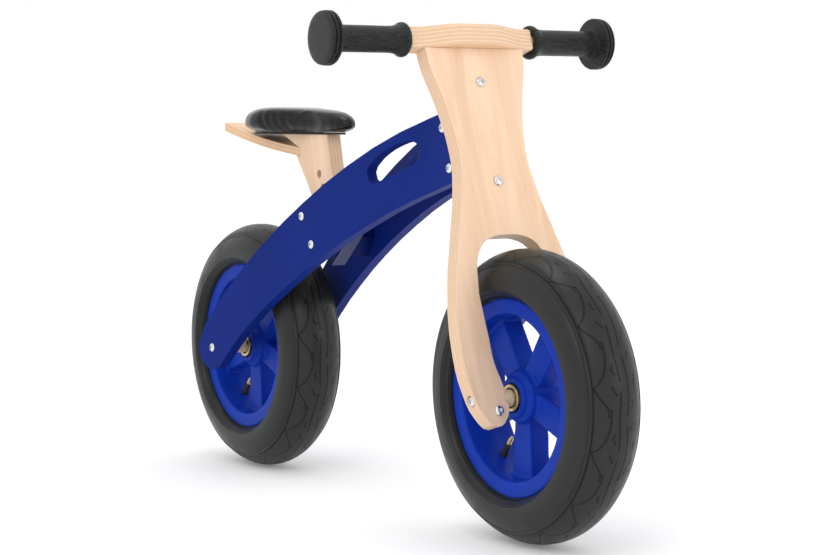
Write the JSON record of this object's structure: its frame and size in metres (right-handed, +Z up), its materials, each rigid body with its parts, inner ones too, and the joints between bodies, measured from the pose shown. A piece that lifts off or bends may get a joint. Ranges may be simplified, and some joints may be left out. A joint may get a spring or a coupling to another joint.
{
  "type": "balance bike",
  "caption": "Child's wooden balance bike with two spoked air tyres, twin curved side panels with hand holes, a steered fork board with grips, and a padded seat on a height-adjusting post",
  "frame": {"origin": "on the ground, midway between the two wheel axles and on the middle plane", "axes": "+X forward, +Y the rider's left, +Z up"},
  "size_m": [0.8648, 0.358, 0.5396],
  "materials": {
    "panel_paint": "satin paint on board",
    "wood": "clear satin birch ply",
    "rim_plastic": "moulded satin",
    "tyre_rubber": "matte tread",
    "valve_rubber": "matte",
    "grip_rubber": "satin moulded",
    "pad_vinyl": "glossy coated cloth",
    "zinc": "bright zinc plate",
    "brass": "yellow passivated",
    "spacer_plastic": "cream moulded"
  },
  "bodies": {
    "frame": {"frame_panel_left": "panel_paint", "frame_panel_right": "panel_paint", "head_block": "wood", "head_bolt_lower": "zinc", "head_bolt_upper": "zinc", "head_nut_lower": "zinc", "head_nut_upper": "zinc", "rear_axle": "zinc", "rear_axle_bolt_left": "zinc", "rear_axle_bolt_right": "zinc", "rear_spacer_left": "spacer_plastic", "rear_spacer_right": "spacer_plastic", "seat_base": "grip_rubber", "seat_bolt_lower": "zinc", "seat_bolt_upper": "zinc", "seat_nut_lower": "zinc", "seat_nut_upper": "zinc", "seat_pad": "pad_vinyl", "seat_post": "wood", "seat_spacer_left": "wood", "seat_spacer_right": "wood", "seat_tail": "wood"},
    "fork": {"barrel_nut_lower": "zinc", "barrel_nut_upper": "zinc", "fork_bolt_lower": "zinc", "fork_bolt_upper": "zinc", "fork_plate": "wood", "front_axle": "zinc", "front_axle_bolt_left": "zinc", "front_axle_bolt_right": "zinc", "front_spacer_left": "spacer_plastic", "front_spacer_right": "spacer_plastic", "grip_left": "grip_rubber", "grip_right": "grip_rubber", "handlebar": "wood", "leg_bolt_left": "zinc", "leg_bolt_right": "zinc", "leg_nut_left": "zinc", "leg_nut_right": "zinc", "steering_block_lower": "wood", "steering_block_upper": "wood", "steering_bolt": "zinc", "steering_nut": "zinc", "steering_washer_lower": "zinc", "steering_washer_upper": "zinc"},
    "front_wheel": {"front_bearing_left": "brass", "front_bearing_right": "brass", "front_inner_tube": "valve_rubber", "front_rim": "rim_plastic", "front_tyre": "tyre_rubber", "front_valve_stem": "valve_rubber", "front_valve_tip": "brass"},
    "rear_wheel": {"rear_bearing_left": "brass", "rear_bearing_right": "brass", "rear_inner_tube": "valve_rubber", "rear_rim": "rim_plastic", "rear_tyre": "tyre_rubber", "rear_valve_stem": "valve_rubber", "rear_valve_tip": "brass"}
  },
  "joints": [
    {"name": "steering", "type": "hinge", "parent": "frame", "child": "fork", "pos_m": [0.17103, 0, 0.40422], "axis": [-0.3032, 0, 0.9529], "range_deg": [-35, 35]},
    {"name": "front_wheel_spin", "type": "hinge", "parent": "fork", "child": "front_wheel", "pos_m": [0.28235, 0, 0.15], "axis": [0, 1, 0], "continuous": true},
    {"name": "rear_wheel_spin", "type": "hinge", "parent": "frame", "child": "rear_wheel", "pos_m": [-0.28235, 0, 0.15], "axis": [0, 1, 0], "continuous": true}
  ]
}
